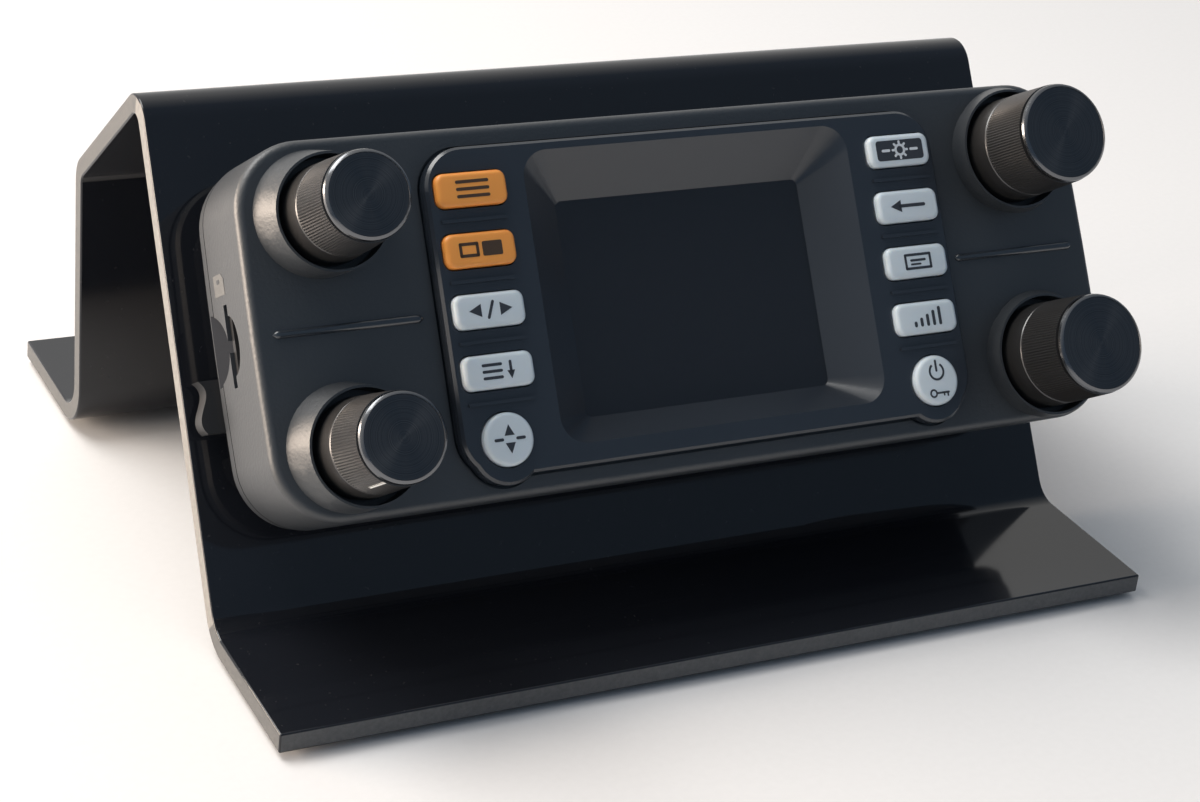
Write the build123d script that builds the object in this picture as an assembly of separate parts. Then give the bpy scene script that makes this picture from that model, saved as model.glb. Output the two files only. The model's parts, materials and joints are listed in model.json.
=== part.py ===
from build123d import *
import os
from math import cos, radians, sin

os.makedirs("parts", exist_ok=True)

# Control head of a mobile transceiver, clipped to a bracket on a bent-sheet desk stand.
# Row frame: origin on the table under the middle of the stand, +X right, -Y to the user, +Z up.
# The head is drawn lying flat: x right, y up the slope, z out of its front face (z = 0).

# Stand
SHEET_T = 3.0
STAND_W = 142.6
PAD_T = 1.0
PAD_R = 4.5
PANEL_ANGLE = 57.4
PANEL_L = 79.0
LIP_L = 26.3
KNEE_RUN = 29.3
KNEE_DROP = 24.3
LEG_RUN = 3.1
FLANGE_L = 27.3
BEND_R = 5.0
FOOT_SPAN = 2 * 34.9

# Control head
HEAD_W = 139.0
HEAD_H = 53.0
HEAD_UP = 38.55
HEAD_SHIFT = 1.6
CORNER_R = 10.0
SIDE_BOW = 0.5
FRONT_D = 15.0
REAR_D = 3.0
WALL = 1.8
FACE_T = 2.0
EDGE_R = 1.2
BRACKET_GAP = 5.3
RUN_GAP = 0.05
FIT_GAP = 0.2

# Centre bezel and display
BEZEL_W = 84.4
BEZEL_H = 46.6
BEZEL_R = 6.0
BEZEL_UP = 2.2
BEZEL_SEAT = 0.8
BEZEL_EDGE = 0.4
BULGE_RIM = 1.6
BULGE_DROP = 0.9
GROOVE = 0.4
WINDOW_W = 54.0
WINDOW_H = 42.2
WINDOW_Y = 0.8
SCREEN_W = 40.7
SCREEN_H = 31.5
SCREEN_Y = -0.8
SCREEN_Z = -3.0
LENS_T = 1.0

# Keys
KEY_X = 35.6
KEY_W = 10.8
KEY_H = 4.9
KEY_R = 1.3
KEY_ROWS = (17.1, 8.5, -0.1, -8.7)
ROUND_KEY_Y = -18.3
ROUND_KEY_R = 3.8
KEY_TOP = 3.3
KEY_TRAVEL = 0.6
KEY_FLANGE = 0.65

# Knobs
KNOB_X = 56.6
KNOB_ROWS = (15.6, -16.7)
KNOB_TOP = 17.1
KNOB_BASE_Z = 0.9
KNOB_R = {"left": 7.1, "right": 8.1}
NOSE_R = {"left": 6.2, "right": 7.5}
COLLAR_GAP = 0.95
COLLAR_UP = 3.7
COLLAR_WALL = 0.35
COLLAR_FOOT = 1.05
COLLAR_LEAN = 1.6
COLLAR_LIFT = 0.4
SHAFT_R = 3.0
BUSHING_R = 3.5
ENCODER_W = 11.6
ENCODER_TOP = -3.0

# Boards
MAIN_TOP = -10.6
MAIN_T = 1.6
FRONT_TOP = -6.5
FRONT_T = 1.2
FRONT_BOARD_W = 88.0
BOARD_H = 48.0
CASE_BOSS = (48.2, 20.5)
MAIN_BOSS = (46.3, 0.0)
FRONT_BOSSES = ((35.6, 22.4), (42.4, -18.5))

# Memory card
CARD_W = 11.0
CARD_L = 15.0
CARD_T = 0.8
CARD_Z = -9.4
CARD_X = -68.9

# Bracket and release lever
BRACKET_W = 134.0
BRACKET_H = 40.0
BRACKET_T = 4.9
RAIL_X = 26.0
RAIL_NECK = 6.0
RAIL_HEAD = 11.0
SCREW_X = 40.0
SCREW_Y = 14.5
M3_R = 1.5
M3_CLEAR_R = 1.7
LEVER_PIVOT = (-52.0, -10.0)
LEVER_PIN_R = 1.25
TAB_OUT = 2.3
TAB_Y = (-11.1, -3.6)
SCOOP_H = 10.4
SCOOP_D = 8.0
SCOOP_IN = 1.4
NOTCH_D = 3.4
NOTCH_H = 8.4

SHEET_TOP = PAD_T + SHEET_T
BEND_Y = -FOOT_SPAN / 2
SLOPE = (0, cos(radians(PANEL_ANGLE)), sin(radians(PANEL_ANGLE)))
NORMAL = (0, -sin(radians(PANEL_ANGLE)), cos(radians(PANEL_ANGLE)))
PANEL_Z = -(FRONT_D + REAR_D + BRACKET_GAP)
CASE_BACK = -(FRONT_D + REAR_D)
BRACKET_FRONT = PANEL_Z + BRACKET_T
FACE_CENTRE = (
    HEAD_SHIFT,
    BEND_Y + HEAD_UP * SLOPE[1] - PANEL_Z * NORMAL[1],
    SHEET_TOP + HEAD_UP * SLOPE[2] - PANEL_Z * NORMAL[2],
)
HEAD_PLACE = Plane(origin=FACE_CENTRE, x_dir=(1, 0, 0), z_dir=NORMAL).location

BOARD_HALF_X = HEAD_W / 2 - WALL - 1.0
SIDES = {"left": -1, "right": 1}


def save(shape, node):
    """Write one node, already in the row frame."""
    export_step(shape, f"parts/{node}.step")


def save_head(shape, node):
    """Move a piece from the flat head drawing to the slope, and write it."""
    save(HEAD_PLACE * shape, node)


def box(x0, x1, y0, y1, z0, z1):
    """Box between two corners."""
    middle = ((x0 + x1) / 2, (y0 + y1) / 2, (z0 + z1) / 2)
    return Pos(*middle) * Box(x1 - x0, y1 - y0, z1 - z0)


def rod(x, y, z0, z1, radius):
    """Cylinder along z."""
    return Pos(x, y, (z0 + z1) / 2) * Cylinder(radius, z1 - z0)


def cone(x, y, z0, z1, r0, r1):
    """Cone along z, radius r0 at z0 and r1 at z1."""
    return Pos(x, y, (z0 + z1) / 2) * Cone(r0, r1, z1 - z0)


def plate(width, height, radius, z0, z1, x=0.0, y=0.0):
    """Flat plate with rounded corners."""
    outline = RectangleRounded(width, height, radius)
    return Pos(x, y, z0) * extrude(outline, z1 - z0)


def together(pieces):
    """Fuse a list of solids."""
    whole = pieces[0]
    for piece in pieces[1:]:
        whole = whole + piece
    return whole


def bevelled(solid, size):
    """Bevel all the edges of a solid's top face."""
    return chamfer(solid.faces().sort_by(Axis.Z)[-1].edges(), size)


def mirrored(points):
    """Points and their mirror images across x = 0."""
    return [(side * x, y) for side in (-1, 1) for x, y in points]


# ---------------------------------------------------------------- stand

def stand_profile():
    """Side view of the sheet's upper surface, from the front lip to the rear flange."""
    top_y = BEND_Y + PANEL_L * SLOPE[1]
    top_z = SHEET_TOP + PANEL_L * SLOPE[2]
    knee = (top_y + KNEE_RUN, top_z - KNEE_DROP)
    heel_y = knee[0] - LEG_RUN
    points = [
        (BEND_Y - LIP_L, SHEET_TOP),
        (BEND_Y, SHEET_TOP),
        (top_y, top_z),
        knee,
        (heel_y, SHEET_TOP),
        (heel_y + FLANGE_L, SHEET_TOP),
    ]
    return points


def stand_sheet():
    """Bent sheet with the bracket's screw holes through its sloping panel."""
    line = FilletPolyline(*stand_profile(), radius=BEND_R)
    strip = make_face(offset(line, SHEET_T, kind=Kind.ARC, side=Side.RIGHT))
    section = Plane(origin=(-STAND_W / 2, 0, 0), x_dir=(0, 1, 0), z_dir=(1, 0, 0)) * strip
    sheet = extrude(section, STAND_W, dir=(1, 0, 0))
    return sheet - together(bracket_holes(M3_CLEAR_R, PANEL_Z - 2 * SHEET_T, PANEL_Z + SHEET_T))


def bracket_holes(radius, z0, z1):
    """One cylinder per bracket screw, on the slope."""
    places = mirrored([(SCREW_X, SCREW_Y), (SCREW_X, -SCREW_Y)])
    return [HEAD_PLACE * rod(x, y, z0, z1, radius) for x, y in places]


def stand_feet():
    """Four thin pads under the lip and the rear flange."""
    inset = 12.0
    front_y = BEND_Y - LIP_L + inset
    back_y = BEND_Y + PANEL_L * SLOPE[1] + KNEE_RUN - LEG_RUN + FLANGE_L - inset
    x = STAND_W / 2 - inset
    spots = [(side * x, y) for side in (-1, 1) for y in (front_y, back_y)]
    return Compound(children=[rod(px, py, 0, PAD_T, PAD_R) for px, py in spots])


# ---------------------------------------------------------------- bracket

def rail_slot(x, y0, y1, gap):
    """T-shaped slot that takes one rail of the head."""
    neck = RAIL_NECK / 2 + gap
    head = RAIL_HEAD / 2 + gap
    upper = box(x - neck, x + neck, y0, y1, BRACKET_FRONT - 1.5, BRACKET_FRONT + 0.1)
    lower = box(x - head, x + head, y0, y1, BRACKET_FRONT - 3.4 - gap, BRACKET_FRONT - 1.5)
    return upper + lower


def mount_bracket():
    """Plate screwed to the panel, with two T-slots open at the top and a lever pocket."""
    body = plate(BRACKET_W, BRACKET_H, 5.0, PANEL_Z, BRACKET_FRONT)
    body = chamfer(body.edges().group_by(Axis.Z)[-1], 0.6)
    for side in (-1, 1):
        body -= rail_slot(side * RAIL_X, -8.0 - FIT_GAP, BRACKET_H / 2 + 1, FIT_GAP)
    for x, y in mirrored([(SCREW_X, SCREW_Y), (SCREW_X, -SCREW_Y)]):
        body -= rod(x, y, PANEL_Z - 1, BRACKET_FRONT + 1, M3_CLEAR_R)
        body -= rod(x, y, PANEL_Z + 2.4, BRACKET_FRONT + 1, 3.2)
    return body - lever_pocket() - lever_pin(LEVER_PIN_R)


def lever_pocket():
    """Pocket at the bracket's left edge in which the lever swings."""
    x, y = LEVER_PIVOT
    floor = PANEL_Z + 1.2
    arm = box(-BRACKET_W / 2 - 1, x, y - 4.4, TAB_Y[1] + 1.0, floor, BRACKET_FRONT + 1)
    eye = rod(x, y, floor, BRACKET_FRONT + 1, 4.2)
    nose = box(x - 3.4, x + 3.4, y, y + 13.2, floor, BRACKET_FRONT + 1)
    return arm + eye + nose


def release_lever():
    """Bell-crank lever: a wavy thumb tab, a pivot eye and a latch nose."""
    x, y = LEVER_PIVOT
    z0 = PANEL_Z + 1.5
    z1 = BRACKET_FRONT - 0.3
    tab_x = -HEAD_W / 2 - TAB_OUT
    tab_y0, tab_y1 = TAB_Y
    wave = Spline((tab_x, tab_y1), (tab_x + 0.9, tab_y1 - 2.2), (tab_x, tab_y1 - 4.6), (tab_x + 0.5, tab_y0))
    edge = Line((tab_x, tab_y1), (tab_x + 7.0, tab_y1))
    back = Line((tab_x + 7.0, tab_y1), (tab_x + 7.0, tab_y0))
    foot = Line((tab_x + 7.0, tab_y0), (tab_x + 0.5, tab_y0))
    tab = Pos(0, 0, z0) * extrude(make_face([wave, edge, back, foot]), z1 - z0)
    arm = box(tab_x + 6.0, x, y - 1.8, y + 1.8, z0, z1)
    eye = rod(x, y, z0, z1, 3.4)
    nose = box(x - 1.5, x + 1.5, y + 1.0, y + 11.5, z0, z1)
    lever = tab + arm + eye + nose
    return lever - rod(x, y, z0 - 1, z1 + 1, LEVER_PIN_R + RUN_GAP)


def lever_pin(radius):
    """Pivot pin of the lever, pressed into the bracket."""
    x, y = LEVER_PIVOT
    return rod(x, y, PANEL_Z + 0.1, BRACKET_FRONT - 0.1, radius)


def lever_spring():
    """Small coil spring that pushes the thumb tab back up."""
    x = LEVER_PIVOT[0] - 10.0
    y0 = LEVER_PIVOT[1] - 4.3
    coil = Helix(pitch=0.56, height=1.9, radius=0.75)
    ring = Plane(origin=coil @ 0, z_dir=coil % 0) * Circle(0.18)
    spring = sweep(ring, path=coil)
    return Pos(x, y0 + 0.2, (PANEL_Z + BRACKET_FRONT) / 2) * Rot(-90, 0, 0) * spring


def bracket_screws():
    """Four pan-head screws that hold the bracket to the stand."""
    screws = []
    for x, y in mirrored([(SCREW_X, SCREW_Y), (SCREW_X, -SCREW_Y)]):
        head = rod(x, y, PANEL_Z + 2.4, PANEL_Z + 4.2, 2.8)
        shank = rod(x, y, PANEL_Z - SHEET_T - 3.6, PANEL_Z + 2.4, M3_R - RUN_GAP)
        recess = Pos(x, y, PANEL_Z + 3.8) * Box(3.0, 0.6, 1.2) + Pos(x, y, PANEL_Z + 3.8) * Box(0.6, 3.0, 1.2)
        screws.append(head + shank - recess)
    return Compound(children=screws)


def bracket_washers():
    """Washers under the stand's panel."""
    z1 = PANEL_Z - SHEET_T
    washers = []
    for x, y in mirrored([(SCREW_X, SCREW_Y), (SCREW_X, -SCREW_Y)]):
        washers.append(rod(x, y, z1 - 0.5, z1, 3.5) - rod(x, y, z1 - 1, z1 + 1, M3_CLEAR_R))
    return Compound(children=washers)


def bracket_nuts():
    """Hexagon nuts behind the stand's panel."""
    z1 = PANEL_Z - SHEET_T - 0.5
    nuts = []
    for x, y in mirrored([(SCREW_X, SCREW_Y), (SCREW_X, -SCREW_Y)]):
        nut = Pos(x, y, z1 - 2.4) * extrude(RegularPolygon(3.1, 6), 2.4)
        nuts.append(nut - rod(x, y, z1 - 4, z1 + 1, M3_R))
    return Compound(children=nuts)


# ---------------------------------------------------------------- case

def head_outline(inset=0.0):
    """Front outline of the head: bowed ends and rounded corners."""
    half_w = HEAD_W / 2 - inset
    half_h = HEAD_H / 2 - inset
    bow = half_w - SIDE_BOW
    right = ThreePointArc((bow, -half_h), (half_w, 0), (bow, half_h))
    left = ThreePointArc((-bow, half_h), (-half_w, 0), (-bow, -half_h))
    top = Line((bow, half_h), (-bow, half_h))
    bottom = Line((-bow, -half_h), (bow, -half_h))
    face = make_face([right, top, left, bottom])
    return fillet(face.vertices(), CORNER_R - inset)


def knob_places():
    """Side name, x, y and knob radius of the four knobs."""
    places = []
    for name, side in SIDES.items():
        for y in KNOB_ROWS:
            places.append((name, side * KNOB_X, y, KNOB_R[name]))
    return places


def key_places():
    """Side name, x and y of every rectangular key."""
    return [(name, side * KEY_X, y) for name, side in SIDES.items() for y in KEY_ROWS]


def key_openings(gap, z0, z1):
    """Openings through the bezel and the case for all the keys."""
    cuts = []
    for _, x, y in key_places():
        cuts.append(plate(KEY_W + 2 * gap, KEY_H + 2 * gap, KEY_R + gap, z0, z1, x, y))
    for side in (-1, 1):
        cuts.append(rod(side * KEY_X, ROUND_KEY_Y, z0, z1, ROUND_KEY_R + gap))
    return cuts


def collars():
    """Collars that stand up around the knobs, flared towards the ends of the head."""
    rings = []
    limit = Pos(0, 0, -1) * extrude(head_outline(0.3), COLLAR_UP + 2)
    for name, x, y, radius in knob_places():
        crest_r = radius + COLLAR_GAP + COLLAR_WALL
        foot = Pos(x + SIDES[name] * COLLAR_LEAN, y + COLLAR_LIFT, -0.6)
        crest = Pos(x, y, COLLAR_UP) * Circle(crest_r)
        flare = loft([foot * Circle(radius + COLLAR_GAP + COLLAR_FOOT), crest])
        core = rod(x, y, -0.6, COLLAR_UP - 0.05, crest_r - 0.1)
        rings.append((flare + core) & limit)
    return rings


def bosses():
    """Screw bosses that run back from the front wall."""
    posts = [rod(x, y, CASE_BACK + 2.3, -FACE_T + 0.1, 2.2) for x, y in mirrored([CASE_BOSS])]
    posts += [rod(x, -y, CASE_BACK + 2.3, -FACE_T + 0.1, 2.2) for x, y in mirrored([CASE_BOSS])]
    posts += [rod(x, y, MAIN_TOP, -FACE_T + 0.1, 1.8) for x, y in mirrored([MAIN_BOSS])]
    posts += [rod(x, y, FRONT_TOP, -FACE_T + 0.1, 1.5) for x, y in mirrored(FRONT_BOSSES)]
    return posts


def boss_pilots():
    """Screw holes in the bosses, as wide as the screws' cores."""
    pilots = []
    for x, y in mirrored([CASE_BOSS]):
        pilots.append(rod(x, y, CASE_BACK + 2.2, -6.0, 1.0))
        pilots.append(rod(x, -y, CASE_BACK + 2.2, -6.0, 1.0))
    pilots += [rod(x, y, MAIN_TOP - 0.1, -6.0, 0.8) for x, y in mirrored([MAIN_BOSS])]
    pilots += [rod(x, y, FRONT_TOP - 0.1, -3.0, 0.7) for x, y in mirrored(FRONT_BOSSES)]
    return pilots


def card_slot():
    """Slot for the memory card in the left wall, with a finger scoop on each side of it."""
    slot = box(-HEAD_W, -HEAD_W / 2 + WALL + 1, -CARD_W / 2 - 0.3, CARD_W / 2 + 0.3,
               CARD_Z - CARD_T / 2 - 0.3, CARD_Z + CARD_T / 2 + 0.3)
    return slot + thumb_scoop() + half_oval(NOTCH_D, CARD_Z + 0.4, NOTCH_H, SCOOP_IN)


def half_oval(depth, z, height, inwards):
    """Half-oval recess in the left wall, bulging forwards from a straight edge at z."""
    wall = Plane(origin=(-HEAD_W / 2 - 1, 0, z), x_dir=(0, 1, 0), z_dir=(1, 0, 0))
    recess = extrude(wall * Ellipse(height / 2, depth), inwards + 1, dir=(1, 0, 0))
    return recess & box(-HEAD_W, 0, -height, height, z, z + 2 * depth)


def thumb_scoop():
    """D-shaped scoop behind the slot, deepest at the slot."""
    edge = -HEAD_W / 2
    front = CASE_BACK + SCOOP_D
    corners = [(-HEAD_W, CASE_BACK), (edge + 0.1, CASE_BACK), (edge + SCOOP_IN, front), (-HEAD_W, front)]
    side = Plane(origin=(0, SCOOP_H, 0), x_dir=(1, 0, 0), z_dir=(0, -1, 0))
    wedge = extrude(side * make_face(Polyline(*corners, close=True)), 2 * SCOOP_H, dir=(0, -1, 0))
    return half_oval(SCOOP_D, CASE_BACK, SCOOP_H, SCOOP_IN) & wedge


def plug_opening():
    """Opening for the control cable's plug, in the right wall."""
    return box(HEAD_W / 2 - WALL - 1, HEAD_W, -5.0, 5.0, -FRONT_D - 0.1, -7.2)


def front_case():
    """Front shell: face, side walls, collars and bosses."""
    shell = extrude(head_outline(), -FRONT_D)
    shell = fillet(shell.faces().sort_by(Axis.Z)[-1].edges(), EDGE_R)
    shell -= Pos(0, 0, -FRONT_D) * extrude(head_outline(WALL), FRONT_D - FACE_T)
    shell = together([shell] + collars() + bosses())
    shell -= Pos(0, 0, -BEZEL_SEAT) * extrude(bezel_outline(GROOVE), 10)
    shell -= plate(WINDOW_W + 2, WINDOW_H + 1, 4.5, -FACE_T - 1, 1, 0, WINDOW_Y)
    for cut in key_openings(0.35, -FACE_T - 1, 1):
        shell -= cut
    for _, x, y, radius in knob_places():
        shell -= rod(x, y, 0, COLLAR_UP + 1, radius + COLLAR_GAP)
        shell -= rod(x, y, -FACE_T - 1, 1, BUSHING_R + 0.15)
    for pilot in boss_pilots():
        shell -= pilot
    for side in (-1, 1):
        rib = plate(21.5, 0.8, 0.39, -0.1, 0.3, side * 55.5, 0)
        shell += rib
    return shell - card_slot() - plug_opening()


def rear_case():
    """Back cover with two T-rails that hang on the bracket."""
    outline = head_outline(0.25)
    cover = Pos(0, 0, CASE_BACK) * extrude(outline, REAR_D)
    cover = chamfer(cover.faces().sort_by(Axis.Z)[0].edges(), 0.6)
    cover -= Pos(0, 0, CASE_BACK + 2.0) * extrude(head_outline(WALL + 0.6), REAR_D)
    for side in (-1, 1):
        x = side * RAIL_X
        half_neck = RAIL_NECK / 2
        half_head = RAIL_HEAD / 2
        neck = box(x - half_neck, x + half_neck, -8, 14, BRACKET_FRONT - 1.7, CASE_BACK + 0.1)
        head = box(x - half_head, x + half_head, -8, 14, BRACKET_FRONT - 3.2, BRACKET_FRONT - 1.7)
        cover += neck + head
    cover += together([rod(x, y, CASE_BACK + 1.9, CASE_BACK + 2.25, 2.2) for x, y in four_bosses()])
    for x, y in four_bosses():
        cover -= rod(x, y, CASE_BACK - 1, 0, 1.25)
        cover -= rod(x, y, CASE_BACK - 1, CASE_BACK + 1.2, 2.4)
    return cover - thumb_scoop()


def four_bosses():
    """Places of the four case screws."""
    x, y = CASE_BOSS
    return mirrored([(x, y), (x, -y)])


def case_screws():
    """Four screws that close the case from the back."""
    screws = []
    for x, y in four_bosses():
        head = rod(x, y, CASE_BACK + 0.2, CASE_BACK + 1.2, 2.1)
        shank = rod(x, y, CASE_BACK + 1.2, -7.0, 1.0 - RUN_GAP / 5)
        recess = Pos(x, y, CASE_BACK) * Box(2.4, 0.5, 1.2) + Pos(x, y, CASE_BACK) * Box(0.5, 2.4, 1.2)
        screws.append(head + shank - recess)
    return Compound(children=screws)


# ---------------------------------------------------------------- bezel and display

def window_dish():
    """Sloping recess between the window's rim and the screen."""
    rim = Pos(0, WINDOW_Y, BEZEL_UP) * RectangleRounded(WINDOW_W, WINDOW_H, 4.0)
    sill = Pos(0, SCREEN_Y, SCREEN_Z) * RectangleRounded(SCREEN_W, SCREEN_H, 1.0)
    return loft([Sketch() + sill, Sketch() + rim])


def bezel_outline(grow=0.0):
    """Rounded rectangle with a bulge round each of the two round keys."""
    outline = RectangleRounded(BEZEL_W + 2 * grow, BEZEL_H + 2 * grow, BEZEL_R + grow)
    bulge = ROUND_KEY_R + BULGE_RIM + grow
    for side in (-1, 1):
        outline += Pos(side * KEY_X, ROUND_KEY_Y - BULGE_DROP) * Circle(bulge)
    return outline


def center_bezel():
    """Raised centre piece with the window's sloping frame and the key openings."""
    body = bevelled(plate(BEZEL_W, BEZEL_H, BEZEL_R, -BEZEL_SEAT, BEZEL_UP), BEZEL_EDGE)
    for side in (-1, 1):
        bulge = rod(side * KEY_X, ROUND_KEY_Y - BULGE_DROP, -BEZEL_SEAT, BEZEL_UP, ROUND_KEY_R + BULGE_RIM)
        body += bevelled(bulge, BEZEL_EDGE)
    tray = plate(WINDOW_W + 1.6, WINDOW_H + 0.6, 4.2, SCREEN_Z, -BEZEL_SEAT + 0.1, 0, WINDOW_Y)
    body += tray
    body -= window_dish()
    for cut in key_openings(FIT_GAP, -BEZEL_SEAT - 1, BEZEL_UP + 1):
        body -= cut
    for _, x, y in key_places():
        low = y - KEY_H / 2 - 1.85
        half = KEY_W / 2 - 0.4
        body += box(x - half, x + half, low - 0.25, low + 0.25, BEZEL_UP - 0.1, BEZEL_UP + 0.35)
    return body


def window_lens():
    """Clear window behind the bezel's sill."""
    return plate(SCREEN_W + 3.0, SCREEN_H + 3.0, 1.2, SCREEN_Z - LENS_T, SCREEN_Z, 0, SCREEN_Y)


def display_panel():
    """Flat display module behind the window."""
    z1 = SCREEN_Z - LENS_T - 0.15
    return box(-23.0, 23.0, SCREEN_Y - 17.6, SCREEN_Y + 17.6, z1 - 1.5, z1)


def display_holder():
    """Frame that holds the display and the window in place."""
    z0 = FRONT_TOP
    y0 = SCREEN_Y - 19.0
    y1 = SCREEN_Y + 19.0
    frame = box(-24.4, 24.4, y0, y1, z0, SCREEN_Z - LENS_T)
    frame -= box(-23.1, 23.1, y0 + 1.3, y1 - 1.3, z0 + 0.6, 0)
    return frame - box(-18.0, 18.0, y0 + 5, y1 - 5, z0 - 1, 0)


def display_flex():
    """Thin strip that joins the display to the front board."""
    z1 = FRONT_TOP + 0.55
    return box(-8.0, 8.0, SCREEN_Y - 12.5, SCREEN_Y - 2.0, z1 - 0.3, z1)


# ---------------------------------------------------------------- boards

def front_board():
    """Board behind the keys and the display."""
    half = FRONT_BOARD_W / 2
    board = box(-half, half, -BOARD_H / 2, BOARD_H / 2, FRONT_TOP - FRONT_T, FRONT_TOP)
    for x, y in mirrored(FRONT_BOSSES):
        board -= rod(x, y, -20, 0, 0.9)
    return board


def main_board():
    """Board across the whole head, behind the knobs."""
    x = BOARD_HALF_X
    board = box(-x, x, -BOARD_H / 2, BOARD_H / 2, MAIN_TOP - MAIN_T, MAIN_TOP)
    board = fillet(board.edges().filter_by(Axis.Z), CORNER_R - WALL - 1)
    for px, py in four_bosses():
        board -= rod(px, py, -20, 0, 2.5)
    for px, py in mirrored([MAIN_BOSS]):
        board -= rod(px, py, -20, 0, 1.0)
    return board - box(x - 15.0, x + 1, -7.0, 7.0, -20, 0)


def board_connector():
    """Stacking connector between the two boards."""
    return box(-12, 12, 18.0, 22.5, MAIN_TOP, FRONT_TOP - FRONT_T)


def controller_chip():
    """Processor package on the back of the main board."""
    z1 = MAIN_TOP - MAIN_T
    return box(-7, 7, -7, 7, z1 - 1.4, z1)


def front_board_screws():
    """Four small screws that hold the front board."""
    z0 = FRONT_TOP - FRONT_T
    screws = []
    for x, y in mirrored(FRONT_BOSSES):
        screws.append(rod(x, y, z0 - 0.9, z0, 1.4) + rod(x, y, z0, -3.6, 0.7 - RUN_GAP / 5))
    return Compound(children=screws)


def main_board_screws():
    """Two screws that hold the main board."""
    z0 = MAIN_TOP - MAIN_T
    screws = []
    for x, y in mirrored([MAIN_BOSS]):
        screws.append(rod(x, y, z0 - 1.1, z0, 1.7) + rod(x, y, z0, -6.6, 0.8 - RUN_GAP / 5))
    return Compound(children=screws)


def keypad_mat(side):
    """Rubber mat with a raised pad behind each key."""
    x = side * KEY_X
    mat = box(x - 5.0, x + 5.0, -22.8, 20.2, FRONT_TOP, FRONT_TOP + 0.6)
    for y in KEY_ROWS + (ROUND_KEY_Y,):
        mat += rod(x, y, FRONT_TOP + 0.5, FRONT_TOP + 1.1, 2.2)
        mat -= rod(x, y, FRONT_TOP - 1, FRONT_TOP + 0.4, 1.9)
    return mat


def dome_switches():
    """Metal dome contacts on the front board, one under each key."""
    domes = []
    for side in (-1, 1):
        for y in KEY_ROWS + (ROUND_KEY_Y,):
            domes.append(cone(side * KEY_X, y, FRONT_TOP, FRONT_TOP + 0.3, 1.7, 1.1))
    return Compound(children=domes)


# ---------------------------------------------------------------- keys

def key_stem(x, y):
    """Plunger behind a key cap."""
    return rod(x, y, FRONT_TOP + 1.1 + KEY_TRAVEL + 0.1, -2.9, 1.6)


def bar_key(x, y):
    """Rectangular key cap with a flange behind the case and a bevelled top edge."""
    cap = plate(KEY_W, KEY_H, KEY_R, -2.5, KEY_TOP, x, y)
    cap = chamfer(cap.faces().sort_by(Axis.Z)[-1].edges(), 0.5)
    flange = plate(KEY_W + 2 * KEY_FLANGE + 0.4, KEY_H + 2 * KEY_FLANGE, KEY_R, -3.1, -2.3, x, y)
    return cap + flange + key_stem(x, y)


def round_key(x, y):
    """Round key cap with a flange behind the case."""
    cap = rod(x, y, -2.5, KEY_TOP, ROUND_KEY_R)
    cap = chamfer(cap.faces().sort_by(Axis.Z)[-1].edges(), 0.5)
    flange = rod(x, y, -3.1, -2.3, ROUND_KEY_R + KEY_FLANGE)
    return cap + flange + key_stem(x, y)


# ---------------------------------------------------------------- knobs

def knob(x, y, radius, nose_r, pointer_angle=None):
    """Slightly tapered knob with a chamfered nose and a blind bore for its shaft."""
    skirt = cone(x, y, KNOB_BASE_Z, KNOB_TOP - 0.8, radius, nose_r + 0.1)
    nose = cone(x, y, KNOB_TOP - 0.8, KNOB_TOP, nose_r + 0.1, nose_r - 0.7)
    body = skirt + nose
    body -= rod(x, y, KNOB_BASE_Z - 1, 3.9, BUSHING_R + 0.6)
    body -= rod(x, y, 0, KNOB_TOP - 2.2, SHAFT_R)
    if pointer_angle is not None:
        body -= knob_pointer(x, y, radius, nose_r, pointer_angle)
    return body


def knob_pointer(x, y, radius, nose_r, angle):
    """Inlaid pointer line on the side of a volume knob."""
    bar = box(radius - 1.9, radius + 1.0, -0.22, 0.22, 10.4, KNOB_TOP - 1.3)
    skin = cone(0, 0, KNOB_BASE_Z, KNOB_TOP - 0.8, radius, nose_r + 0.1)
    return Pos(x, y, 0) * Rot(0, 0, angle) * (bar & skin)


def knob_shaft(x, y):
    """Shaft with a rotor disc that is trapped in the encoder's body."""
    return rod(x, y, -4.6, KNOB_TOP - 2.3, SHAFT_R) + rod(x, y, -6.0, -4.6, 4.2)


def encoder_body(x, y, floor):
    """Square encoder or potentiometer body with a threaded-style bushing."""
    half = ENCODER_W / 2
    body = box(x - half, x + half, y - half, y + half, MAIN_TOP, ENCODER_TOP)
    body += rod(x, y, ENCODER_TOP, 3.0, BUSHING_R)
    body -= rod(x, y, floor, -4.5, 4.4)
    return body - rod(x, y, -5, 4, SHAFT_R + RUN_GAP)


def push_plunger(x, y):
    """Push-switch plunger under the dial's rotor."""
    return rod(x, y, -7.2, -6.05, 3.0)


# ---------------------------------------------------------------- card and jack

def card_socket():
    """Push-in socket on the front of the main board."""
    x0 = CARD_X + 2.4
    socket = box(x0, x0 + CARD_L, -7.0, 7.0, MAIN_TOP, MAIN_TOP + 2.4)
    return socket - box(x0 - 1, CARD_X + CARD_L + FIT_GAP, -CARD_W / 2 - FIT_GAP, CARD_W / 2 + FIT_GAP,
                        CARD_Z - CARD_T / 2 - FIT_GAP, CARD_Z + CARD_T / 2 + FIT_GAP)


def memory_card():
    """Small memory card with a thumb ridge at its outer end."""
    card = box(CARD_X, CARD_X + CARD_L, -CARD_W / 2, CARD_W / 2, CARD_Z - CARD_T / 2, CARD_Z + CARD_T / 2)
    card = fillet(card.edges().filter_by(Axis.Z), 0.7)
    return card + box(CARD_X, CARD_X + 0.8, -4.0, 4.0, CARD_Z - CARD_T / 2 - 0.2, CARD_Z)


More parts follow.
